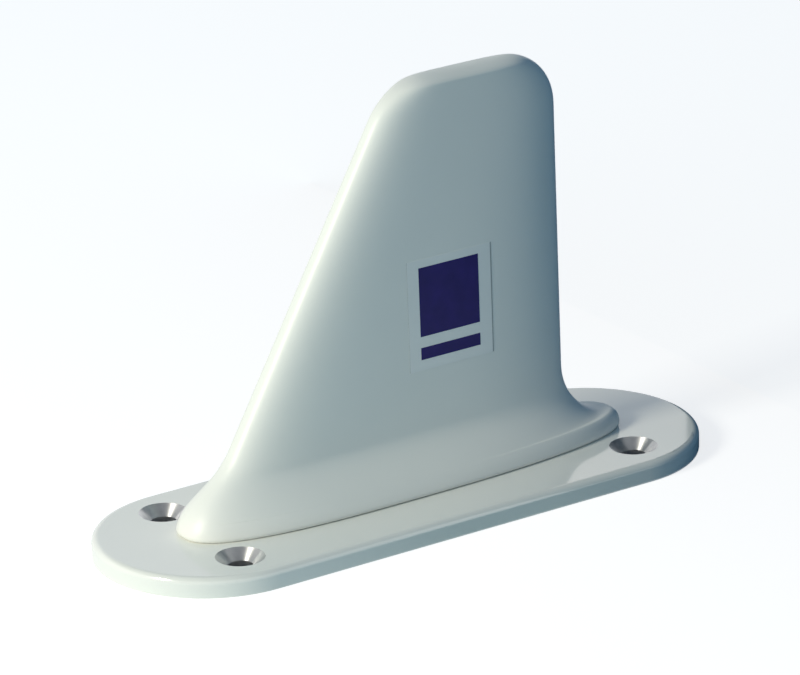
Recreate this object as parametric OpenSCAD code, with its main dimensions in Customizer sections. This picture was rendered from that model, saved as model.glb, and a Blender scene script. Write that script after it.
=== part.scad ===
// Swept blade antenna for an aircraft skin. A hollow radome is bonded to a countersunk base plate,
// and the radiating element inside it is fed by a bayonet jack that passes through the skin.
// Origin: the plate's centre on its mounting face. +X points aft, +Z away from the skin.

/* [Base plate] */
// Length of the plate along the airflow
plate_l = 119.6; // [112:0.2:140]
// Width of the plate, and the diameter of its round ends
plate_w = 41.2; // [37:0.2:56]
// Thickness of the plate
plate_t = 3.6; // [3.2:0.1:5]
// Radius of the rounded upper edge
plate_edge_r = 1.2; // [0.4:0.1:1.6]

/* [Mounting screws] */
// Distance between the screw holes along the plate
screw_pitch_x = 82.55; // [80:0.05:90]
// Distance between the screw holes across the plate
screw_pitch_y = 24.4; // [23:0.1:27]
// Diameter of the clearance hole of a No. 8 screw
screw_hole_d = 4.5; // [4.2:0.1:5.2]
// Diameter of the countersink in the plate's upper face
countersink_d = 8.6; // [8:0.1:9.6]
// Included angle of the countersink
countersink_angle = 100; // [82:1:110]

/* [Blade] */
// Height of the blade above the plate
blade_h = 72.8; // [64:0.2:86]
// Distance from the plate's centre forward to the root of the leading edge
nose_reach = 42.4; // [38:0.2:45]
// Distance from the plate's centre aft to the root of the trailing edge
tail_reach = 34.4; // [30:0.2:38]
// Sweep of the leading edge from the vertical
sweep = 29.6; // [22:0.2:32]
// Forward lean of the trailing edge
tail_lean = 1; // [0:0.1:4]
// Radius of the tip's front corner in side view
front_corner_r = 13.5; // [8:0.5:18]
// Radius of the tip's rear corner in side view
rear_corner_r = 10.5; // [6:0.5:15]
// Thickness of the blade at its root
root_thick = 9.6; // [8.8:0.1:12]
// Thickness of the blade at its tip
tip_thick = 6; // [5.4:0.1:8]
// Radius that rounds the tip's rim over
tip_rim_r = 1.4; // [1:0.1:3]
// Flatness of the sides towards the leading edge, where 2 is an ellipse
nose_flatness = 5; // [2:0.1:7]
// Flatness of the sides towards the trailing edge, where 2 is an ellipse
tail_flatness = 4.5; // [2:0.1:7]
// Bluntness of the leading and trailing edge, where 2 is round
edge_bluntness = 2.2; // [1.8:0.1:3]
// Bluntness of the foot's outline, where 2 is an ellipse
foot_bluntness = 2.6; // [2:0.1:3.4]
// Station of the greatest thickness, as a share of the chord
thickest_at = 0.42; // [0.3:0.01:0.6]

/* [Flared foot] */
// How far the foot reaches ahead of the leading edge's root
nose_lip = 2.8; // [2:0.1:6]
// How far the foot reaches aft of the trailing edge's root
tail_lip = 11.5; // [8:0.1:13]
// How far the foot reaches out on each side of the root
side_lip = 5.2; // [4.8:0.1:6]
// Height over which the toe swells out of the leading edge
toe_swell_h = 13; // [9:0.5:18]
// Height below which the leading edge's line turns upright
toe_turn_h = 8; // [4:0.5:12]
// Height over which the foot swells out of the blade's sides
side_swell_h = 10; // [8:0.5:14]
// Height of the flare behind the trailing edge
tail_flare_h = 10.5; // [7:0.5:16]
// Height of the foot's upright edge at the tail
foot_edge_h = 1.1; // [1.1:0.1:2]
// Radius over the upright edge at the tail
foot_edge_r = 2.2; // [0.8:0.1:3]
// Radius by which the foot rounds under to the plate
foot_under_r = 0.9; // [0.4:0.1:1]

/* [Shell and core] */
// Wall thickness of the radome
wall = 1.6; // [1.2:0.1:2]
// Solid height between the cavity and the tip's rim
tip_wall = 1.2; // [0.8:0.1:3]
// Gap between the foam core and what it surrounds
core_fit = 0.1; // [0.05:0.01:0.3]

/* [Radiating element] */
// Thickness of the brass sheet
sheet_t = 0.8; // [0.5:0.1:1.2]
// Width of the tab that is soldered into the feed
tab_w = 5; // [3.6:0.1:7]
// Height of that tab
tab_h = 6; // [4:0.5:10]
// Width of the element above the tab
element_root_w = 9; // [6:0.5:14]
// Height over which the tab widens into the element
shoulder_h = 4; // [2:0.5:8]
// Width of the element at its upper end
element_tip_w = 15; // [9:0.5:18]
// Distance from the element's upper end to the top of the cavity
element_gap = 3; // [1:0.5:10]

/* [Bayonet jack] */
// Distance from the mounting face down to the jack's open end
jack_reach = 11.2; // [10:0.1:14]
// Diameter of the jack's barrel
barrel_d = 9.65; // [9.5:0.05:10]
// Bevel on the barrel's open end
barrel_bevel = 0.4; // [0.2:0.05:0.6]
// Diameter of the jack's mouth
mouth_d = 8.15; // [7.9:0.05:8.4]
// Depth of the jack's mouth
mouth_depth = 6.4; // [5.6:0.1:7.2]
// Diameter of a bayonet lug
lug_d = 2; // [1.8:0.05:2.1]
// Distance across both bayonet lugs
lug_span = 11; // [10.8:0.05:11.4]
// Distance from the open end to the lugs' axis
lug_from_end = 4.6; // [3.6:0.1:5.4]
// Diameter of the shank that passes through the plate
shank_d = 9.5; // [9:0.05:10]
// Height of the shank above the nut
shank_proud = 0.4; // [0.2:0.1:1]
// Width across the flats of the jack's hexagonal flange
flange_af = 14; // [13:0.1:16]
// Thickness of the flange
flange_t = 2; // [1.6:0.1:2.4]
// Clearance round parts of the jack that slide together
jack_fit = 0.05; // [0.02:0.01:0.1]

/* [Jack's insulator and contact] */
// Diameter of the insulator in its seat
insulator_d = 6.5; // [6:0.1:7]
// Diameter of the insulator inside the mouth
insulator_nose_d = 4.75; // [4.4:0.05:5]
// Depth of the insulator's end below the open end
insulator_recess = 1.6; // [1:0.1:2.4]
// Height of the insulator above the shank
insulator_proud = 1; // [0.5:0.1:2]
// Diameter of the centre contact
contact_d = 2.2; // [2:0.05:2.6]
// Depth of the contact's end below the open end
contact_recess = 2.2; // [1.8:0.1:3]
// Diameter of the contact's socket
socket_d = 1.4; // [1.3:0.05:1.5]
// Depth of the contact's socket
socket_depth = 4.5; // [3.5:0.1:5.5]
// Height of the forked solder end above the insulator
fork_h = 3; // [2:0.1:4]
// Depth of the fork's slot
fork_slot = 2.4; // [1.6:0.1:2.8]

/* [Nut, washer and seals] */
// Width across the flats of the jack's nut
nut_af = 12.7; // [12:0.1:13.2]
// Thickness of the nut
nut_t = 2; // [1.6:0.1:2.2]
// Outer diameter of the lock washer
washer_d = 12.4; // [11.8:0.1:13]
// Thickness of the lock washer
washer_t = 0.6; // [0.4:0.05:0.8]
// Number of inner teeth on the lock washer
washer_teeth = 12; // [8:1:16]
// Depth of the gaps between those teeth
tooth_depth = 0.7; // [0.4:0.05:0.8]
// Depth of the plate's pocket for the nut
pocket_depth = 1.4; // [1.2:0.1:1.8]
// Room for a spanner round the nut's corners
spanner_room = 0.6; // [0.3:0.1:1]
// Outer diameter of the gasket on the jack's flange
gasket_d = 13.2; // [12.4:0.1:13.8]
// Thickness of that gasket
gasket_t = 0.5; // [0.3:0.05:1]
// Mean diameter of the plate's sealing ring
seal_d = 27; // [24:0.2:31]
// Thickness of the sealing ring's round section
seal_section = 1.78; // [1.5:0.02:2.1]
// How far the ring stands out of its groove
seal_proud = 0.38; // [0.2:0.02:0.5]
// Room on each side of the ring in its groove
seal_room = 0.3; // [0.1:0.05:0.5]

/* [Hidden] */
$fn = 64;
// Overlap that lets a cut pass clean through a face
cut = 0.5;

// Blade: heights from here on are above the plate's upper face
ring_points = 52;
tail_ledge = foot_edge_h + foot_edge_r;
foot_h = max(toe_swell_h, side_swell_h, tail_ledge + tail_flare_h);
cavity_h = blade_h - tip_rim_r - tip_wall;
corner_start = blade_h - max(rear_corner_r, front_corner_r * (1 - sin(sweep)));
rim_start = blade_h - tip_rim_r;
// The last ring before the tip closes, as an angle round the rim
rim_end_angle = 88;

// Jack: heights above the mounting face
jack_end = -jack_reach;
mouth_top = jack_end + mouth_depth;
flange_top = -gasket_t;
nut_bottom = plate_t - pocket_depth + washer_t;
nut_top = nut_bottom + nut_t;
shank_top = nut_top + shank_proud;
insulator_top = shank_top + insulator_proud;
contact_top = insulator_top + fork_h;
feed_z = contact_top - fork_slot;
nut_corner_r = nut_af / 2 / cos(30);

// Sealing ring
seal_depth = seal_section - seal_proud;
groove_w = seal_section + 2 * seal_room;

// Outset at height u of a foot that swells out of the blade's own line from height h down
function swell(u, lip, h) = lip * (1 + cos(180 * min(u / h, 1))) / 2;

// Share of a flare's outset that is left at a height t of a flare of height h: a concave quarter ellipse
function flare(t, h) = 1 - sqrt(1 - pow(1 - min(max(t / h, 0), 1), 2));

// What is left at height u of an upright edge that is rounded over by r
function edge_round(u, r) =
    let (t = min(max(u - foot_edge_h, 0), r))
    sqrt(r * r - t * t);

// Outset at height u of the tail's lip, with the flare above it
function tail_outset(u, lip, inset) =
    let (r = max(foot_edge_r - inset, 0))
    let (curve = (lip - foot_edge_r + inset) * flare(u - foot_edge_h - r, tail_flare_h + inset))
    min(curve + edge_round(u, r), lip);

// How far the foot is drawn in at height u where it rounds under
function tuck(u) =
    let (t = max(foot_under_r - u, 0))
    foot_under_r - sqrt(pow(foot_under_r, 2) - t * t);

// Height on the leading edge's line that belongs to height u, so that the toe ends upright
function turned(u) = u < toe_turn_h ? (u * u + pow(toe_turn_h, 2)) / (2 * toe_turn_h) : u;

// A straight edge line that leans by an angle and ends in a corner arc of radius r below the tip
function edge_line(u, root, lean, r) =
    let (arc_z = blade_h - r)
    let (arc_x = root - arc_z * tan(lean) - r / cos(lean))
    u < arc_z + r * sin(lean) ? root - u * tan(lean) : arc_x + sqrt(max(r * r - pow(u - arc_z, 2), 0));

function nose_line(u) = -edge_line(u, nose_reach, sweep, front_corner_r);
function tail_line(u) = edge_line(u, tail_reach, tail_lean, rear_corner_r);

// Half the blade's thickness, which tapers to the tip and is rounded over at the rim
function half_thick(u) =
    let (over = max(u - rim_start, 0) / tip_rim_r)
    (root_thick + (tip_thick - root_thick) * u / blade_h) / 2 * sqrt(max(1 - over * over, 0));

// One section of the blade at height u: two half superellipses that meet where it is thickest,
// nearly elliptical in the foot and flatter in the blade.
// A lining is drawn in by inset, and its swells lie lower by half of that, so the wall stays even.
function section(u, inset) =
    let (drawn = inset + tuck(u))
    let (toe_lip = nose_lip + toe_turn_h / 2 * tan(sweep))
    let (toe = swell(u + inset / 2, toe_lip, toe_swell_h))
    let (tail_out = tail_outset(u, tail_lip + tail_reach - tail_line(tail_ledge), inset))
    let (nose = nose_line(turned(u)) + inset / cos(sweep) + tuck(u) - toe)
    let (tail = tail_line(max(u, tail_ledge)) - drawn + tail_out)
    let (half = half_thick(u) - drawn + swell(u + inset / 2, side_lip, side_swell_h))
    let (mid = nose + thickest_at * (tail - nose))
    let (in_foot = swell(u, 1, side_swell_h))
    let (blunt = edge_bluntness + in_foot * (foot_bluntness - edge_bluntness))
    [for (i = [0 : ring_points - 1])
        let (c = cos(360 * i / ring_points))
        let (s = sin(360 * i / ring_points))
        let (flatness = c < 0 ? nose_flatness : tail_flatness)
        let (flat = flatness + in_foot * (foot_bluntness - flatness))
        let (across = half * sign(s) * pow(max(1 - pow(abs(c), flat), 0), 1 / blunt))
        [mid + (c < 0 ? mid - nose : tail - mid) * c, across, plate_t + u]];

// Heights of the rings, close together where the form curves
foot_steps = 9;
foot_ease = 1.6;
under_levels = [for (a = [0 : 30 : 90]) foot_under_r * (1 - cos(a))];
edge_levels = [for (a = [0 : 22.5 : 90]) foot_edge_h + foot_edge_r * sin(a)];
foot_levels = [for (i = [1 : foot_steps])
    tail_ledge + (foot_h - tail_ledge) * pow(i / foot_steps, foot_ease)];
body_levels = [for (k = [0.3, 0.65]) foot_h + k * (corner_start - foot_h)];
corner_levels = [for (k = [0 : 0.2 : 1]) corner_start + (rim_start - corner_start) * sin(90 * k)];
rim_levels = [for (k = [0.2 : 0.2 : 1]) rim_start + tip_rim_r * sin(rim_end_angle * k)];
lower_levels = concat(edge_levels, foot_levels, body_levels, corner_levels);
outer_levels = concat(under_levels, lower_levels, rim_levels);
lining_levels = [for (u = concat(under_levels, lower_levels)) if (u < cavity_h - wall) u];

function rings(levels, inset) = [for (u = levels) each section(u, inset)];

// Triangles between neighbouring rings, facing out, or in where the rings line a cavity
function ring_faces(first, count, inward) =
    [for (r = [0 : count - 2], i = [0 : ring_points - 1])
        let (a = first + r * ring_points + i)
        let (b = first + r * ring_points + (i + 1) % ring_points)
        let (c = a + ring_points)
        let (d = b + ring_points)
        each inward ? [[a, d, c], [a, b, d]] : [[a, c, d], [a, d, b]]];

// One ring as a flat face that looks down, or up
function cap(first, up) = [[for (i = [0 : ring_points - 1]) first + (up ? ring_points - 1 - i : i)]];

module plate_outline(width) {
    straight = plate_l - plate_w;
    square([straight, width], center = true);
    for (side = [-1, 1])
        translate([side * straight / 2, 0])
            circle(d = width);
}

// Half the plate's rounded upper edge in section, from the middle out
module edge_section() {
    square([plate_w / 2 - plate_edge_r, plate_edge_r]);
    translate([plate_w / 2 - plate_edge_r, 0])
        intersection() {
            circle(r = plate_edge_r);
            square(plate_edge_r);
        }
}

module plate_blank() {
    straight = plate_l - plate_w;
    linear_extrude(plate_t - plate_edge_r)
        plate_outline(plate_w);
    translate([0, 0, plate_t - plate_edge_r]) {
        for (side = [-1, 1])
            translate([side * straight / 2, 0, 0])
                rotate([0, 0, -90 * side])
                    rotate_extrude(angle = 180)
                        edge_section();
        rotate([90, 0, 90])
            linear_extrude(straight, center = true) {
                edge_section();
                mirror([1, 0])
                    edge_section();
            }
    }
}

module screw_hole() {
    countersink_r = countersink_d / 2;
    drop = countersink_r / tan(countersink_angle / 2);
    translate([0, 0, -cut])
        cylinder(d = screw_hole_d, h = plate_t + 2 * cut);
    translate([0, 0, plate_t - drop])
        cylinder(r1 = 0, r2 = countersink_r, h = drop);
    translate([0, 0, plate_t])
        cylinder(d = countersink_d, h = cut);
}

module base_plate() {
    color("ghostwhite")
        difference() {
            plate_blank();
            for (x = [-1, 1], y = [-1, 1])
                translate([x * screw_pitch_x / 2, y * screw_pitch_y / 2, 0])
                    screw_hole();
            translate([0, 0, -cut])
                cylinder(d = shank_d + 2 * jack_fit, h = plate_t + 2 * cut);
            translate([0, 0, plate_t - pocket_depth])
                cylinder(r = nut_corner_r + spanner_room, h = pocket_depth + cut);
            rotate_extrude()
                translate([seal_d / 2 - groove_w / 2, -cut])
                    square([groove_w, seal_depth + cut]);
        }
}

module blade_radome() {
    lining = concat(lining_levels, [cavity_h]);
    first = len(outer_levels) * ring_points;
    last = first + (len(lining) - 1) * ring_points;
    rim = [for (i = [0 : ring_points - 1])
        let (j = (i + 1) % ring_points)
        each [[i, j, first + j], [i, first + j, first + i]]];
    color("white")
        polyhedron(
            points = concat(rings(outer_levels, 0), rings(lining, wall)),
            faces = concat(
                ring_faces(0, len(outer_levels), false),
                cap(first - ring_points, true),
                ring_faces(first, len(lining), true),
                cap(last, false),
                rim));
}

// The element's outline in the blade's plane, grown on every side
module element_outline(grow) {
    neck = feed_z + tab_h;
    shoulder = neck + shoulder_h;
    top = plate_t + cavity_h - element_gap;
    tip_x = (nose_line(top - plate_t) + tail_line(top - plate_t)) / 2;
    polygon([
        [-tab_w / 2 - grow, feed_z - grow],
        [tab_w / 2 + grow, feed_z - grow],
        [tab_w / 2 + grow, neck],
        [element_root_w / 2 + grow, shoulder],
        [tip_x + element_tip_w / 2 + grow, top + grow],
        [tip_x - element_tip_w / 2 - grow, top + grow],
        [-element_root_w / 2 - grow, shoulder],
        [-tab_w / 2 - grow, neck]]);
}

module foam_core() {
    levels = concat(lining_levels, [cavity_h - core_fit]);
    nut_span = 2 * (nut_corner_r + core_fit);
    color("khaki")
        difference() {
            polyhedron(
                points = rings(levels, wall + core_fit),
                faces = concat(
                    ring_faces(0, len(levels), false),
                    cap(0, false),
                    cap((len(levels) - 1) * ring_points, true)));
            translate([-nut_span / 2, -plate_w / 2, plate_t - cut])
                cube([nut_span, plate_w, nut_top - plate_t + core_fit + cut]);
            cylinder(d = shank_d + 2 * core_fit, h = shank_top + core_fit);
            cylinder(d = insulator_d + 2 * core_fit, h = insulator_top + core_fit);
            cylinder(d = contact_d + 2 * core_fit, h = contact_top + core_fit);
            rotate([90, 0, 0])
                linear_extrude(sheet_t + 2 * core_fit, center = true)
                    element_outline(core_fit);
        }
}

module radiating_element() {
    color("goldenrod")
        rotate([90, 0, 0])
            linear_extrude(sheet_t, center = true)
                element_outline(0);
}

module connector_body() {
    flange_bottom = flange_top - flange_t;
    color("silver")
        difference() {
            union() {
                rotate_extrude()
                    polygon([
                        [0, jack_end],
                        [barrel_d / 2 - barrel_bevel, jack_end],
                        [barrel_d / 2, jack_end + barrel_bevel],
                        [barrel_d / 2, flange_top],
                        [0, flange_top]]);
                translate([0, 0, flange_bottom])
                    cylinder(d = shank_d, h = shank_top - flange_bottom);
                translate([0, 0, flange_bottom])
                    cylinder(d = flange_af / cos(30), h = flange_t, $fn = 6);
                translate([0, 0, jack_end + lug_from_end])
                    rotate([90, 0, 0])
                        cylinder(d = lug_d, h = lug_span, center = true);
            }
            translate([0, 0, jack_end - cut])
                cylinder(d = mouth_d, h = mouth_depth + cut);
            translate([0, 0, jack_end])
                cylinder(d = insulator_d + 2 * jack_fit, h = shank_top - jack_end + cut);
        }
}

module connector_insulator() {
    insulator_end = jack_end + insulator_recess;
    color("snow")
        difference() {
            union() {
                translate([0, 0, insulator_end])
                    cylinder(d = insulator_nose_d, h = insulator_top - insulator_end);
                translate([0, 0, mouth_top])
                    cylinder(d = insulator_d, h = insulator_top - mouth_top);
            }
            translate([0, 0, insulator_end - cut])
                cylinder(d = contact_d + 2 * jack_fit, h = insulator_top - insulator_end + 2 * cut);
        }
}

module center_contact() {
    contact_end = jack_end + contact_recess;
    color("gold")
        difference() {
            translate([0, 0, contact_end])
                cylinder(d = contact_d, h = contact_top - contact_end);
            translate([0, 0, contact_end - cut])
                cylinder(d = socket_d, h = socket_depth + cut);
            translate([-contact_d, -sheet_t / 2 - jack_fit, feed_z])
                cube([2 * contact_d, sheet_t + 2 * jack_fit, fork_slot + cut]);
        }
}

module connector_nut() {
    color("silver")
        translate([0, 0, nut_bottom])
            difference() {
                cylinder(r = nut_corner_r, h = nut_t, $fn = 6);
                translate([0, 0, -cut])
                    cylinder(d = shank_d + 2 * jack_fit, h = nut_t + 2 * cut);
            }
}

module lock_washer() {
    bore_r = shank_d / 2 + jack_fit;
    gap_w = PI * bore_r / washer_teeth;
    color("silver")
        translate([0, 0, nut_bottom - washer_t])
            difference() {
                cylinder(d = washer_d, h = washer_t);
                translate([0, 0, -cut])
                    cylinder(r = bore_r, h = washer_t + 2 * cut);
                for (i = [0 : washer_teeth - 1])
                    rotate([0, 0, 360 * i / washer_teeth])
                        translate([0, -gap_w / 2, -cut])
                            cube([bore_r + tooth_depth, gap_w, washer_t + 2 * cut]);
            }
}

module connector_gasket() {
    color("dimgray")
        translate([0, 0, -gasket_t])
            difference() {
                cylinder(d = gasket_d, h = gasket_t);
                translate([0, 0, -cut])
                    cylinder(d = shank_d + 2 * jack_fit, h = gasket_t + 2 * cut);
            }
}

module base_seal() {
    color("dimgray")
        rotate_extrude()
            translate([seal_d / 2, seal_depth - seal_section / 2])
                circle(d = seal_section);
}

base_plate();
blade_radome();
foam_core();
radiating_element();
connector_body();
connector_insulator();
center_contact();
connector_nut();
lock_washer();
connector_gasket();
base_seal();
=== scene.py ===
"""Looks of a swept aircraft blade antenna: smooth paint, bare countersinks, nickel jack and a plain decal."""
import math

import bpy
from mathutils import Matrix, Vector


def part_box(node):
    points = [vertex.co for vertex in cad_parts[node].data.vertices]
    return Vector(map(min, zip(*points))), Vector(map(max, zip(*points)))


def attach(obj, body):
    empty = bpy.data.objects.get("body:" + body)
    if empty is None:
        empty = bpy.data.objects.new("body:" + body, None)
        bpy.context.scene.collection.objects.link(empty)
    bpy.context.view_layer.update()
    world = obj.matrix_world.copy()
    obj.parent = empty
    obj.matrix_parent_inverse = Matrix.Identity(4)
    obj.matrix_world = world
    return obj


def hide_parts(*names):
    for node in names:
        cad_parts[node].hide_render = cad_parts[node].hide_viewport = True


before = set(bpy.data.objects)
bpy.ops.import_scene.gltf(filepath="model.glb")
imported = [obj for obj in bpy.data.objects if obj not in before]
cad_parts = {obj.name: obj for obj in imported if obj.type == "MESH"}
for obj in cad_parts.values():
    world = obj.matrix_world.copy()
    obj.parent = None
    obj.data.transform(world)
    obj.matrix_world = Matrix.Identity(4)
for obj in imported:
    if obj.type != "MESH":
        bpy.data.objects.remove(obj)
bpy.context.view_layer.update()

MM = 0.001
ROOT = "root"
WHITE = (1.0, 1.0, 1.0)

# Picture and camera: angles in degrees, places in pixels of the photograph, lengths in millimetres
PHOTO_W = 800
PHOTO_H = 675
VIEW_AZIMUTH = -33.86
VIEW_ELEVATION = 20.71
VIEW_ROLL = -1.35
FOCAL_PX = 5543.5
ORIGIN_PX = (401.85, 497.52)
VIEW_DISTANCE = 967.4
SENSOR_W = 36.0
CLIP_START = 10.0

# Blade: lengths in millimetres, heights above the plate, angles in degrees
BLADE_H = 72.8
NOSE_REACH = 42.4
TAIL_REACH = 34.4
SWEEP = 29.6
TAIL_LEAN = 1.0
FRONT_CORNER_R = 13.5
REAR_CORNER_R = 10.5
ROOT_THICK = 9.6
TIP_THICK = 6.0
TIP_RIM_R = 1.4
RIM_END = 88.0
NOSE_FLATNESS = 5.0
TAIL_FLATNESS = 4.5
EDGE_BLUNTNESS = 2.2
FOOT_BLUNTNESS = 2.6
THICKEST_AT = 0.42
NOSE_LIP = 2.8
TAIL_LIP = 11.5
SIDE_LIP = 5.2
TOE_SWELL_H = 13.0
TOE_TURN_H = 8.0
SIDE_SWELL_H = 10.0
TAIL_FLARE_H = 10.5
FOOT_EDGE_H = 1.1
FOOT_EDGE_R = 2.2
FOOT_UNDER_R = 0.9
WALL = 1.6
TIP_WALL = 1.2

# Fine mesh of the radome: points of a section, levels from the plate up, and the angle of a sharp edge
RING_POINTS = 144
UNDER_LEVELS = 10
UNDER_STEP = 10.0
EDGE_LEVELS = 3
LIP_LEVELS = 12
FOOT_LEVELS = 40
FOOT_EASE = 1.6
UPPER_LEVELS = 24
QUARTER_TURN = 90.0
SHELL_SHARP = 60.0

# Screw holes in the plate, in millimetres
SCREW_PITCH = (82.55, 24.4)
COUNTERSINK_R = 4.3

# Sorting of the plate's faces: slack on two radii, the normal's Z of a level face, and two material slots
HOLE_SLACK = 1.001
BORE_SLACK = 1.2
LEVEL_NORMAL = 0.9
BARE_SLOT = 1
COATED_SLOT = 2

# Decal on the near face, in millimetres: boxes run along the plate and above its mounting face
FILM_BOX = (-0.5, 24.6, 17.2, 44.7)
FIELD_BOX = (1.9, 30.7, 14.4, 43.2)
BAR_BOX = (1.9, 26.5, 14.4, 28.7)
FILM_T = 0.035
INK_T = 0.02
# Widths in millimetres of the painted shade along the film's front edge and of its painted shadow along the
# rear edge
FRONT_SHADE = 0.05
REAR_SHADOW = 0.4
FILM_GRID = (24, 24)
INK_GRID = (20, 16)
FILM_SHARP = 40.0

plate_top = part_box("base_plate")[1].z / MM
tail_ledge = FOOT_EDGE_H + FOOT_EDGE_R
foot_h = max(TOE_SWELL_H, SIDE_SWELL_H, tail_ledge + TAIL_FLARE_H)
rim_start = BLADE_H - TIP_RIM_R
cavity_h = rim_start - TIP_WALL


def swell(u, lip, h):
    """Outset at height u of a foot that swells out of the blade's own line from height h down."""
    return lip * (1 + math.cos(math.pi * min(u / h, 1))) / 2


def flare(t, h):
    """Share of a flare's outset that is left at height t of a flare of height h."""
    return 1 - math.sqrt(1 - (1 - min(max(t / h, 0), 1)) ** 2)


def edge_round(u, r):
    """What is left at height u of an upright edge that is rounded over by r."""
    t = min(max(u - FOOT_EDGE_H, 0), r)
    return math.sqrt(r * r - t * t)


def tail_outset(u, lip, inset):
    """Outset at height u of the tail's lip, with the flare above it."""
    r = max(FOOT_EDGE_R - inset, 0)
    curve = (lip - FOOT_EDGE_R + inset) * flare(u - FOOT_EDGE_H - r, TAIL_FLARE_H + inset)
    return min(curve + edge_round(u, r), lip)


def tuck(u):
    """How far the foot is drawn in at height u where it rounds under to the plate."""
    t = max(FOOT_UNDER_R - u, 0)
    return FOOT_UNDER_R - math.sqrt(FOOT_UNDER_R ** 2 - t * t)


def turned(u):
    """Height on the leading edge's line that belongs to height u, so that the toe ends upright."""
    return (u * u + TOE_TURN_H ** 2) / (2 * TOE_TURN_H) if u < TOE_TURN_H else u


def edge_line(u, root, lean, r):
    """A straight edge that leans by an angle and ends in a corner arc of radius r below the tip."""
    lean = math.radians(lean)
    arc_z = BLADE_H - r
    arc_x = root - arc_z * math.tan(lean) - r / math.cos(lean)
    if u < arc_z + r * math.sin(lean):
        return root - u * math.tan(lean)
    return arc_x + math.sqrt(max(r * r - (u - arc_z) ** 2, 0))


def nose_line(u):
    """X of the leading edge at height u."""
    return -edge_line(u, NOSE_REACH, SWEEP, FRONT_CORNER_R)


def tail_line(u):
    """X of the trailing edge at height u, without the foot."""
    return edge_line(u, TAIL_REACH, TAIL_LEAN, REAR_CORNER_R)


def half_thick(u):
    """Half thickness of the blade at height u, rounded over at the tip's rim."""
    over = max(u - rim_start, 0) / TIP_RIM_R
    thick = ROOT_THICK + (TIP_THICK - ROOT_THICK) * u / BLADE_H
    return thick / 2 * math.sqrt(max(1 - over * over, 0))


def section(u, inset=0.0):
    """Nose, thickest station, tail and half thickness of the blade at height u, drawn in by inset."""
    lean = math.radians(SWEEP)
    drawn = inset + tuck(u)
    toe = swell(u + inset / 2, NOSE_LIP + TOE_TURN_H / 2 * math.tan(lean), TOE_SWELL_H)
    tail_out = tail_outset(u, TAIL_LIP + TAIL_REACH - tail_line(tail_ledge), inset)
    nose = nose_line(turned(u)) + inset / math.cos(lean) + tuck(u) - toe
    tail = tail_line(max(u, tail_ledge)) - drawn + tail_out
    half = half_thick(u) - drawn + swell(u + inset / 2, SIDE_LIP, SIDE_SWELL_H)
    return nose, nose + THICKEST_AT * (tail - nose), tail, half


def across(u, c):
    """Share of the half thickness at height u, a share c of the way from the thickest station to an edge."""
    in_foot = swell(u, 1, SIDE_SWELL_H)
    flat = NOSE_FLATNESS if c < 0 else TAIL_FLATNESS
    flat += in_foot * (FOOT_BLUNTNESS - flat)
    blunt = EDGE_BLUNTNESS + in_foot * (FOOT_BLUNTNESS - EDGE_BLUNTNESS)
    return max(1 - abs(c) ** flat, 0) ** (1 / blunt)


def ring(u, inset=0.0):
    """Points of one section: two half superellipses that meet where it is thickest."""
    nose, mid, tail, half = section(u, inset)
    points = []
    for i in range(RING_POINTS):
        a = 2 * math.pi * i / RING_POINTS
        c, s = math.cos(a), math.sin(a)
        x = mid + (mid - nose if c < 0 else tail - mid) * c
        y = math.copysign(half * across(u, c), s)
        points.append((x * MM, y * MM, (plate_top + u) * MM))
    return points


def near_face(x, z):
    """Y of the blade's near face at a place along the plate and above its mounting face."""
    u = z - plate_top
    nose, mid, tail, half = section(u)
    return -half * across(u, (x - mid) / (mid - nose if x < mid else tail - mid))


def steps(first, last, count, ease=1.0):
    """Values from first to last, the first left out, closer at the start where ease is over 1."""
    return [first + (last - first) * (i / count) ** ease for i in range(1, count + 1)]


def arc_steps(first, rise, last_angle, count):
    """Heights along a quarter round of that rise, up to an angle in degrees."""
    return [first + rise * math.sin(math.radians(last_angle * i / count)) for i in range(1, count + 1)]


def mesh_object(name, points, faces, sharp_angle=None):
    """A new smooth object, with sharp edges where faces turn by more than an angle in degrees."""
    mesh = bpy.data.meshes.new(name)
    mesh.from_pydata(points, [], faces)
    mesh.validate()
    mesh.shade_smooth()
    if sharp_angle is not None:
        mesh.set_sharp_from_angle(angle=math.radians(sharp_angle))
    made = bpy.data.objects.new(name, mesh)
    bpy.context.scene.collection.objects.link(made)
    return made


def ring_quads(first, count, inward):
    """Quads between rings that follow each other from one point's number on."""
    faces = []
    for r in range(count - 1):
        for i in range(RING_POINTS):
            a = first + r * RING_POINTS + i
            b = first + r * RING_POINTS + (i + 1) % RING_POINTS
            quad = (a, b, b + RING_POINTS, a + RING_POINTS)
            faces.append(quad[::-1] if inward else quad)
    return faces


def ring_cap(first, up):
    """Strips across one ring, which is alike on both sides of the blade's plane."""
    faces = [(first, first + 1, first + RING_POINTS - 1)]
    half = RING_POINTS // 2
    for i in range(1, half - 1):
        faces.append((first + i, first + i + 1, first + RING_POINTS - i - 1, first + RING_POINTS - i))
    faces.append((first + half - 1, first + half, first + half + 1))
    return faces if up else [face[::-1] for face in faces]


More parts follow.
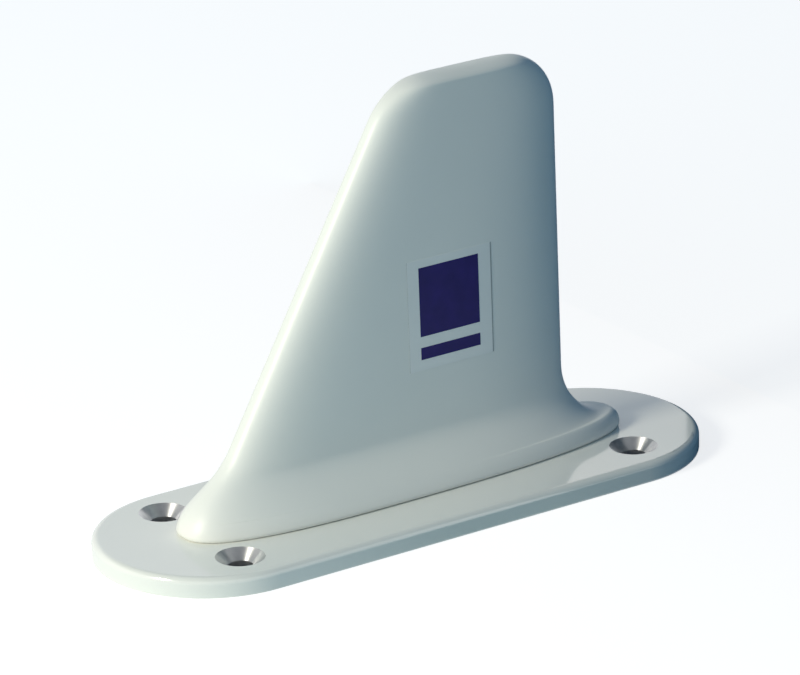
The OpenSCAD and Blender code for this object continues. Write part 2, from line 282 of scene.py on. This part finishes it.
def make_blade():
    """The radome as a fine closed shell in place of the plainer solid."""
    under = [FOOT_UNDER_R * (1 - math.cos(math.radians(UNDER_STEP * i))) for i in range(UNDER_LEVELS)]
    edge = steps(FOOT_UNDER_R, FOOT_EDGE_H, EDGE_LEVELS)
    lip = arc_steps(FOOT_EDGE_H, FOOT_EDGE_R, QUARTER_TURN, LIP_LEVELS)
    foot = steps(tail_ledge, foot_h, FOOT_LEVELS, FOOT_EASE)
    corner = BLADE_H - FRONT_CORNER_R
    body = steps(foot[-1], corner, UPPER_LEVELS)
    tip = arc_steps(corner, rim_start - corner, QUARTER_TURN, UPPER_LEVELS)
    rim = arc_steps(rim_start, TIP_RIM_R, RIM_END, UPPER_LEVELS)
    lower = under + edge + lip + foot + body + tip
    outer = lower + rim
    lining = [u for u in lower if u < cavity_h - WALL] + [cavity_h]
    points = [p for u in outer for p in ring(u)] + [p for u in lining for p in ring(u, WALL)]
    first = len(outer) * RING_POINTS
    faces = ring_quads(0, len(outer), False) + ring_cap(first - RING_POINTS, True)
    faces += ring_quads(first, len(lining), True) + ring_cap(len(points) - RING_POINTS, False)
    for i in range(RING_POINTS):
        j = (i + 1) % RING_POINTS
        faces.append((j, i, first + i, first + j))
    return mesh_object("painted_radome", points, faces, SHELL_SHARP)


def make_patch(name, box, lift, thickness, grid):
    """A thin closed sheet that follows the blade's near face, lifted off it by lift."""
    x0, z0, x1, z1 = box
    columns, rows = grid
    outer, inner = [], []
    for r in range(rows + 1):
        for c in range(columns + 1):
            x = x0 + (x1 - x0) * c / columns
            z = z0 + (z1 - z0) * r / rows
            y = near_face(x, z) - lift
            outer.append((x * MM, (y - thickness) * MM, z * MM))
            inner.append((x * MM, y * MM, z * MM))
    back = len(outer)
    wide = columns + 1
    faces = []
    for r in range(rows):
        for c in range(columns):
            a = r * wide + c
            faces.append((a, a + 1, a + 1 + wide, a + wide))
            faces.append((back + a, back + a + wide, back + a + 1 + wide, back + a + 1))
    rim = list(range(wide)) + [r * wide + columns for r in range(1, rows + 1)]
    rim += [rows * wide + c for c in range(columns - 1, -1, -1)]
    rim += [r * wide for r in range(rows - 1, 0, -1)]
    for a, b in zip(rim, rim[1:] + rim[:1]):
        faces.append((b, a, back + a, back + b))
    return mesh_object(name, outer + inner, faces, FILM_SHARP)


class Nodes:
    """The node tree of a new material or world, with short ways to add and link nodes."""

    def __init__(self, name, world=False):
        self.owner = (bpy.data.worlds if world else bpy.data.materials).new(name)
        self.owner.use_nodes = True
        self.tree = self.owner.node_tree
        self.tree.nodes.clear()
        self.output = self.add("ShaderNodeOutputWorld" if world else "ShaderNodeOutputMaterial")

    def add(self, kind, **settings):
        node = self.tree.nodes.new(kind)
        for key, value in settings.items():
            setattr(node, key, value)
        return node

    def link(self, source, target):
        self.tree.links.new(source, target)

    def calculate(self, operation, *values):
        """A sum on sockets and plain numbers."""
        node = self.add("ShaderNodeMath", operation=operation)
        for socket, value in zip(node.inputs, values):
            if isinstance(value, (int, float)):
                socket.default_value = value
            else:
                self.link(value, socket)
        return node.outputs[0]

    def shader(self, kind, colour):
        """A plain shader whose colour is a constant or comes from a socket."""
        node = self.add(kind)
        if isinstance(colour, tuple):
            node.inputs["Color"].default_value = (*colour, 1)
        else:
            self.link(colour, node.inputs["Color"])
        return node

    def coordinates(self):
        return self.add("ShaderNodeTexCoord").outputs["Object"]

    def along(self, axis):
        """The object coordinate along one axis."""
        split = self.add("ShaderNodeSeparateXYZ")
        self.link(self.coordinates(), split.inputs["Vector"])
        return split.outputs[axis]

    def noise(self, scale, detail=3.0):
        node = self.add("ShaderNodeTexNoise")
        node.inputs["Scale"].default_value = scale
        node.inputs["Detail"].default_value = detail
        self.link(self.coordinates(), node.inputs["Vector"])
        return node.outputs["Fac"]

    def remap(self, value, low, high, start=0.3, end=0.7):
        """A number that runs from low to high as value goes from start to end."""
        node = self.add("ShaderNodeMapRange")
        for key, number in (("From Min", start), ("From Max", end), ("To Min", low), ("To Max", high)):
            node.inputs[key].default_value = number
        self.link(value, node.inputs["Value"])
        return node.outputs["Result"]

    def mix_shaders(self, factor, first, second):
        node = self.add("ShaderNodeMixShader")
        self.link(factor, node.inputs["Fac"])
        self.link(first.outputs[0], node.inputs[1])
        self.link(second.outputs[0], node.inputs[2])
        return node

    def ramp(self, factor, low, high, start=0.3, end=0.7):
        """A colour that runs from low to high as factor goes from start to end."""
        node = self.add("ShaderNodeValToRGB")
        node.color_ramp.elements[0].position = start
        node.color_ramp.elements[0].color = (*low, 1)
        node.color_ramp.elements[1].position = end
        node.color_ramp.elements[1].color = (*high, 1)
        self.link(factor, node.inputs["Fac"])
        return node.outputs["Color"]

    def multiply(self, first, second):
        """The product of two colours."""
        node = self.add("ShaderNodeVectorMath", operation="MULTIPLY")
        self.link(first, node.inputs[0])
        self.link(second, node.inputs[1])
        return node.outputs["Vector"]

    def bump(self, height, distance):
        """A normal for relief of that depth in metres."""
        node = self.add("ShaderNodeBump")
        node.inputs["Strength"].default_value = 1.0
        node.inputs["Distance"].default_value = distance
        self.link(height, node.inputs["Height"])
        return node.outputs["Normal"]

    def surface(self, colour, roughness, normal=None, tangent=None, **constants):
        """A finished material, with constants by the names of the shader's sockets."""
        node = self.add("ShaderNodeBsdfPrincipled")
        self.link(colour, node.inputs["Base Color"])
        self.link(roughness, node.inputs["Roughness"])
        for key, vector in (("Normal", normal), ("Tangent", tangent)):
            if vector is not None:
                self.link(vector, node.inputs[key])
        for key, value in constants.items():
            node.inputs[key.replace("_", " ")].default_value = value
        return self.finish(node)

    def finish(self, node):
        self.link(node.outputs[0], self.output.inputs["Surface"])
        return self.owner


def white_paint(name, rough, coat):
    """White paint with faint mottling and orange peel. Under a full clear coat only the coat shines."""
    nodes = Nodes(name)
    colour = nodes.ramp(nodes.noise(60, 2), (0.80, 0.81, 0.755), (0.825, 0.83, 0.775), 0.2, 0.8)
    roughness = nodes.remap(nodes.noise(160), rough - 0.03, rough + 0.03)
    normal = nodes.bump(nodes.noise(900, 2), 0.004 * MM)
    return nodes.surface(
        colour, roughness, normal, Specular_IOR_Level=0.5 * (1 - coat),
        Coat_Weight=coat, Coat_Roughness=0.1, Coat_IOR=2.05)


def turned_metal():
    """Bare turned aluminium: fine grooves round each screw hole stretch its glints up and down the wall."""
    nodes = Nodes("turned_aluminium")
    place = nodes.add("ShaderNodeCombineXYZ")
    for axis, pitch in zip("XY", SCREW_PITCH):
        along = nodes.along(axis)
        offset = nodes.calculate("SUBTRACT", nodes.calculate("ABSOLUTE", along), pitch / 2 * MM)
        nodes.link(nodes.calculate("MULTIPLY", offset, nodes.calculate("SIGN", along)), place.inputs[axis])
    reach = nodes.add("ShaderNodeVectorMath", operation="LENGTH")
    nodes.link(place.outputs["Vector"], reach.inputs[0])
    grooves = nodes.add("ShaderNodeTexNoise", noise_dimensions="1D")
    grooves.inputs["Scale"].default_value = 9000
    grooves.inputs["Detail"].default_value = 2
    nodes.link(reach.outputs["Value"], grooves.inputs["W"])
    colour = nodes.ramp(nodes.noise(500), (0.72, 0.73, 0.74), (0.84, 0.85, 0.86))
    roughness = nodes.remap(grooves.outputs["Fac"], 0.46, 0.54)
    normal = nodes.bump(grooves.outputs["Fac"], 0.004 * MM)
    return nodes.surface(colour, roughness, normal, place.outputs["Vector"], Metallic=1.0, Anisotropic=0.9)


def conversion_coat():
    """Underside of the plate: aluminium with a pale gold conversion coat."""
    nodes = Nodes("conversion_coat")
    colour = nodes.ramp(nodes.noise(120, 5), (0.60, 0.55, 0.40), (0.72, 0.69, 0.56))
    roughness = nodes.remap(nodes.noise(400), 0.36, 0.46)
    normal = nodes.bump(nodes.noise(3000, 2), 0.005 * MM)
    return nodes.surface(colour, roughness, normal, Metallic=1.0)


def nickel_plate():
    nodes = Nodes("nickel_plate_finish")
    colour = nodes.ramp(nodes.noise(300, 4), (0.60, 0.58, 0.54), (0.70, 0.68, 0.64))
    roughness = nodes.remap(nodes.noise(700), 0.22, 0.32)
    normal = nodes.bump(nodes.noise(5000, 2), 0.003 * MM)
    return nodes.surface(colour, roughness, normal, Metallic=1.0)


def gold_plate():
    nodes = Nodes("gold_plate")
    colour = nodes.ramp(nodes.noise(600, 3), (0.78, 0.52, 0.18), (0.86, 0.62, 0.26))
    roughness = nodes.remap(nodes.noise(1500), 0.2, 0.3)
    return nodes.surface(colour, roughness, Metallic=1.0)


def brass_sheet():
    nodes = Nodes("rolled_brass")
    colour = nodes.ramp(nodes.noise(200, 4), (0.66, 0.47, 0.18), (0.76, 0.57, 0.26))
    roughness = nodes.remap(nodes.noise(900), 0.28, 0.42)
    return nodes.surface(colour, roughness, Metallic=1.0)


def white_insulator():
    nodes = Nodes("fluoropolymer")
    colour = nodes.ramp(nodes.noise(400), (0.80, 0.80, 0.77), (0.87, 0.87, 0.84))
    roughness = nodes.remap(nodes.noise(900), 0.42, 0.52)
    normal = nodes.bump(nodes.noise(4000), 0.004 * MM)
    return nodes.surface(colour, roughness, normal)


def seal_rubber():
    nodes = Nodes("black_rubber")
    colour = nodes.ramp(nodes.noise(500), (0.016, 0.016, 0.017), (0.032, 0.032, 0.033))
    roughness = nodes.remap(nodes.noise(1400), 0.5, 0.66)
    normal = nodes.bump(nodes.noise(5000), 0.006 * MM)
    return nodes.surface(colour, roughness, normal)


def rigid_foam():
    nodes = Nodes("rigid_foam")
    cells = nodes.add("ShaderNodeTexVoronoi")
    cells.inputs["Scale"].default_value = 1400
    nodes.link(nodes.coordinates(), cells.inputs["Vector"])
    colour = nodes.ramp(cells.outputs["Distance"], (0.62, 0.50, 0.26), (0.78, 0.67, 0.42), 0.1, 0.6)
    roughness = nodes.remap(nodes.noise(900), 0.75, 0.9)
    normal = nodes.bump(cells.outputs["Distance"], 0.1 * MM)
    return nodes.surface(colour, roughness, normal)


def decal_film():
    """Pale film, a little smoother than the paint under it, with painted shade along its front edge and a
    wider painted shadow along its rear edge.
    """
    nodes = Nodes("decal_film")
    along = nodes.along("X")
    front, rear = FILM_BOX[0] * MM, FILM_BOX[2] * MM
    near_front = nodes.remap(along, 1, 0, front, front + FRONT_SHADE * MM)
    near_rear = nodes.remap(along, 0, 1, rear - REAR_SHADOW * MM, rear)
    # Painted shade and shadow: the film greys toward its front edge and, over a wider band, toward its rear
    # edge where its own shadow falls
    edge_shade = nodes.ramp(nodes.calculate("ADD", near_front, near_rear), WHITE, (0.3, 0.32, 0.34))
    pale = nodes.ramp(nodes.noise(220, 4), (0.81, 0.82, 0.78), (0.84, 0.85, 0.81))
    colour = nodes.multiply(pale, edge_shade)
    roughness = nodes.remap(nodes.noise(700), 0.3, 0.36)
    normal = nodes.bump(nodes.noise(600, 2), 0.004 * MM)
    return nodes.surface(colour, roughness, normal)


def decal_ink():
    """Dark blue ink with slight unevenness."""
    nodes = Nodes("decal_ink")
    colour = nodes.ramp(nodes.noise(260, 4), (0.010, 0.008, 0.10), (0.017, 0.012, 0.135))
    roughness = nodes.remap(nodes.noise(800), 0.34, 0.42)
    normal = nodes.bump(nodes.noise(900, 2), 0.003 * MM)
    return nodes.surface(colour, roughness, normal, Specular_IOR_Level=0.2)


def dress_plate():
    """Paint on the plate's top and sides, bare metal in the screw holes, conversion coat underneath."""
    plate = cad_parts["base_plate"]
    plate.data.materials.clear()
    paint = white_paint("plate_gloss_paint", rough=0.25, coat=1.0)
    for finish in (paint, turned_metal(), conversion_coat()):
        plate.data.materials.append(finish)
    reach = COUNTERSINK_R * MM * HOLE_SLACK
    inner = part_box("connector_nut")[1].x * BORE_SLACK
    for face in plate.data.polygons:
        x, y = face.center.xy
        from_screw = math.hypot(abs(x) - SCREW_PITCH[0] / 2 * MM, abs(y) - SCREW_PITCH[1] / 2 * MM)
        if from_screw < reach and abs(face.normal.z) < LEVEL_NORMAL:
            face.material_index = BARE_SLOT
        elif face.normal.z < -LEVEL_NORMAL or math.hypot(x, y) < inner:
            face.material_index = COATED_SLOT


def dress_nodes():
    """Finishes of the pieces inside the blade and under the plate."""
    finishes = {
        "foam_core": rigid_foam(),
        "radiating_element": brass_sheet(),
        "connector_insulator": white_insulator(),
        "center_contact": gold_plate(),
    }
    nickel = nickel_plate()
    finishes.update({name: nickel for name in ("connector_body", "connector_nut", "lock_washer")})
    rubber = seal_rubber()
    finishes.update({name: rubber for name in ("connector_gasket", "base_seal")})
    for name, finish in finishes.items():
        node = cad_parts[name]
        node.data.materials.clear()
        node.data.materials.append(finish)


def place_blade():
    """The painted radome in place of its plainer solid."""
    blade = make_blade()
    blade.data.materials.append(white_paint("radome_paint_finish", rough=0.42, coat=0.0))
    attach(blade, ROOT)
    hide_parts("blade_radome")


def place_decal():
    """A film with a plain square and a plain bar of ink on it."""
    film = make_patch("decal_film", FILM_BOX, 0.0, FILM_T, FILM_GRID)
    film.data.materials.append(decal_film())
    ink = decal_ink()
    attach(film, ROOT)
    for name, box in (("decal_field", FIELD_BOX), ("decal_bar", BAR_BOX)):
        patch = make_patch(name, box, FILM_T, INK_T, INK_GRID)
        patch.data.materials.append(ink)
        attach(patch, ROOT)


# Stage: floor, sky, painted shade under the screw holes and key lamp, with lengths in metres
FLOOR_R = 6.0
FLOOR_POINTS = 96
FLOOR_DROP = 0.02 * MM
FLOOR_TUCK = 0.3 * MM
FLOOR_FRONT = (0.55, 0.71, 0.74)
FLOOR_REAR = (0.08, 0.20, 0.33)
FLOOR_BLEND = (0.02, 0.06)
SEEN_COLOUR = (0.40, 0.40, 0.40)
SEEN_WHITE = 0.78
SKY_FRONT = (0.265, 0.335, 0.39)
SKY_REAR = (0.10, 0.265, 0.42)
SKY_BLEND = (-0.6, 0.9)
SKY_TURN = (0.45, 0.7)
ZENITH = (0.10, 0.12, 0.14)
# Painted shade under the screw holes: radius, points and near-black colour of the discs
PIT_R = 2.4 * MM
PIT_POINTS = 24
PIT_SHADE_COLOUR = (0.03, 0.035, 0.04)
KEY_TOWARD = (-0.901, -0.095, 0.423)
KEY_DISTANCE = 0.7
KEY_SIZE = 0.16
KEY_POWER = 4.0
KEY_COLOUR = (1.0, 0.95, 0.82)

# Cards by colour and two opposite corners: the first shades the tail's side, the others show in the gloss
DARK_BLUE = (0.02, 0.055, 0.10)
DEEP_BLUE = (0.005, 0.055, 0.15)
FLAG_FADE = (-0.06, 0.0)
SHADE_FLAGS = {"shade_flag": (DEEP_BLUE, (0.08, -0.15, 0.0), (0.08, 0.15, 0.3))}
GLOSS_FLAGS = {
    "gloss_flag": (DARK_BLUE, (0.085, -0.12, 0.0), (0.085, 0.03, 0.16)),
    "floor_flag": (DARK_BLUE, (-0.065, -0.034, 0.0002), (0.11, 0.03, 0.0002)),
}


def light_path_seen(nodes):
    """1 for what the camera sees, straight or in gloss and glass, 0 for light that falls on the object."""
    path = nodes.add("ShaderNodeLightPath")
    gloss = nodes.calculate("MAXIMUM", path.outputs["Is Glossy Ray"], path.outputs["Is Transmission Ray"])
    return nodes.calculate("MAXIMUM", path.outputs["Is Camera Ray"], gloss)


def clear_below(nodes, top):
    """A material that shows a shader from above and nothing from below."""
    below = nodes.add("ShaderNodeNewGeometry").outputs["Backfacing"]
    return nodes.finish(nodes.mix_shaders(below, top, nodes.shader("ShaderNodeBsdfTransparent", WHITE)))


def pale_floor():
    """Seen as white with the object's shadow. The light it throws back is bluer toward the tail."""
    nodes = Nodes("pale_floor")
    glow = nodes.shader("ShaderNodeEmission", WHITE)
    glow.inputs["Strength"].default_value = SEEN_WHITE
    white = nodes.add("ShaderNodeAddShader")
    nodes.link(nodes.shader("ShaderNodeBsdfDiffuse", SEEN_COLOUR).outputs[0], white.inputs[0])
    nodes.link(glow.outputs[0], white.inputs[1])
    rearward = nodes.remap(nodes.along("X"), 0, 1, *FLOOR_BLEND)
    lit = nodes.shader("ShaderNodeBsdfDiffuse", nodes.ramp(rearward, FLOOR_FRONT, FLOOR_REAR, 0, 1))
    nodes.owner.cycles.emission_sampling = "NONE"
    return clear_below(nodes, nodes.mix_shaders(light_path_seen(nodes), lit, white))


def make_floor():
    """A wide floor at the mounting face, open under the plate."""
    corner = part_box("base_plate")[1]
    straight = corner.x - corner.y
    radius = corner.y - FLOOR_TUCK
    near, far, faces = [], [], []
    for i in range(FLOOR_POINTS):
        a = 2 * math.pi * (i + 0.5) / FLOOR_POINTS
        c, s = math.cos(a), math.sin(a)
        near.append((math.copysign(straight, c) + radius * c, radius * s, -FLOOR_DROP))
        far.append((FLOOR_R * c, FLOOR_R * s, -FLOOR_DROP))
        j = (i + 1) % FLOOR_POINTS
        faces.append((i, FLOOR_POINTS + i, FLOOR_POINTS + j, j))
    floor = mesh_object("floor", near + far, faces)
    floor.data.materials.append(pale_floor())


def make_pits():
    """Painted shade under each screw hole: a near-black disc at the floor, where the ground would lie in the
    plate's shadow.
    """
    points, faces = [], []
    for side in (-1, 1):
        for end in (-1, 1):
            faces.append(tuple(range(len(points), len(points) + PIT_POINTS)))
            for i in range(PIT_POINTS):
                a = 2 * math.pi * i / PIT_POINTS
                x = end * SCREW_PITCH[0] / 2 * MM + PIT_R * math.cos(a)
                y = side * SCREW_PITCH[1] / 2 * MM + PIT_R * math.sin(a)
                points.append((x, y, -FLOOR_DROP))
    pits = mesh_object("screw_pits", points, faces)
    # Painted shade: the discs are near-black where the ground under the plate would be in shadow
    nodes = Nodes("painted_pit_shade")
    pits.data.materials.append(clear_below(nodes, nodes.shader("ShaderNodeBsdfDiffuse", PIT_SHADE_COLOUR)))


def make_flag(name, colour, low, high):
    """A blue card that no camera sees and that fades out toward the blade's leading edge."""
    corners = [low, (low[0], high[1], low[2]), high, (high[0], low[1], high[2])]
    flag = mesh_object(name, corners, [(0, 1, 2, 3)])
    nodes = Nodes(name + "_card")
    clear = nodes.shader("ShaderNodeBsdfTransparent", WHITE)
    card = nodes.shader("ShaderNodeBsdfDiffuse", colour)
    fade = nodes.remap(nodes.along("X"), 0, 1, *FLAG_FADE)
    flag.data.materials.append(nodes.finish(nodes.mix_shaders(fade, clear, card)))
    flag.visible_camera = False
    flag.visible_shadow = False
    return flag


def make_world():
    """A cool sky, bluer toward the tail. It is seen as white, and as dark grey overhead."""
    nodes = Nodes("soft_sky", world=True)
    split = nodes.add("ShaderNodeSeparateXYZ")
    nodes.link(nodes.add("ShaderNodeTexCoord").outputs["Generated"], split.inputs["Vector"])
    dome = nodes.shader("ShaderNodeBackground", nodes.ramp(split.outputs["Z"], WHITE, ZENITH, *SKY_TURN))
    rearward = nodes.remap(split.outputs["X"], 0, 1, *SKY_BLEND)
    light = nodes.shader("ShaderNodeBackground", nodes.ramp(rearward, SKY_FRONT, SKY_REAR, 0, 1))
    bpy.context.scene.world = nodes.finish(nodes.mix_shaders(light_path_seen(nodes), light, dome))


def make_key():
    """A square warm soft box, ahead of the blade and above it, that looks at its middle."""
    lamp = bpy.data.lights.new("key", "AREA")
    lamp.size = KEY_SIZE
    lamp.energy = KEY_POWER
    lamp.color = KEY_COLOUR
    made = bpy.data.objects.new("key", lamp)
    direction = Vector(KEY_TOWARD).normalized()
    made.location = Vector((0, 0, BLADE_H / 2 * MM)) + direction * KEY_DISTANCE
    made.rotation_euler = direction.to_track_quat("Z", "Y").to_euler()
    bpy.context.scene.collection.objects.link(made)


def make_camera():
    """The photograph's camera, fitted to the plate's outline and its holes."""
    a, e, roll = (math.radians(v) for v in (VIEW_AZIMUTH, VIEW_ELEVATION, VIEW_ROLL))
    back = Vector((math.sin(a) * math.cos(e), -math.cos(a) * math.cos(e), math.sin(e)))
    right = Vector((math.cos(a), math.sin(a), 0))
    up = back.cross(right)
    side = right * math.cos(roll) + up * math.sin(roll)
    top = up * math.cos(roll) - right * math.sin(roll)
    distance = VIEW_DISTANCE * MM
    to_right = (ORIGIN_PX[0] - PHOTO_W / 2) / FOCAL_PX * distance
    to_top = (PHOTO_H / 2 - ORIGIN_PX[1]) / FOCAL_PX * distance
    camera = bpy.data.cameras.new("camera")
    camera.sensor_width = SENSOR_W
    camera.lens = FOCAL_PX / PHOTO_W * SENSOR_W
    camera.clip_start = CLIP_START * MM
    made = bpy.data.objects.new("camera", camera)
    place = Matrix.Translation(back * distance - side * to_right - top * to_top)
    made.matrix_world = place @ Matrix((side, top, back)).transposed().to_4x4()
    bpy.context.scene.collection.objects.link(made)
    bpy.context.scene.camera = made


dress_plate()
dress_nodes()
place_blade()
place_decal()
make_floor()
make_pits()
make_world()
for flag_name, card in SHADE_FLAGS.items():
    make_flag(flag_name, *card).visible_glossy = False
for flag_name, card in GLOSS_FLAGS.items():
    make_flag(flag_name, *card).visible_diffuse = False
make_key()
make_camera()

bpy.context.scene.view_settings.view_transform = "Standard"
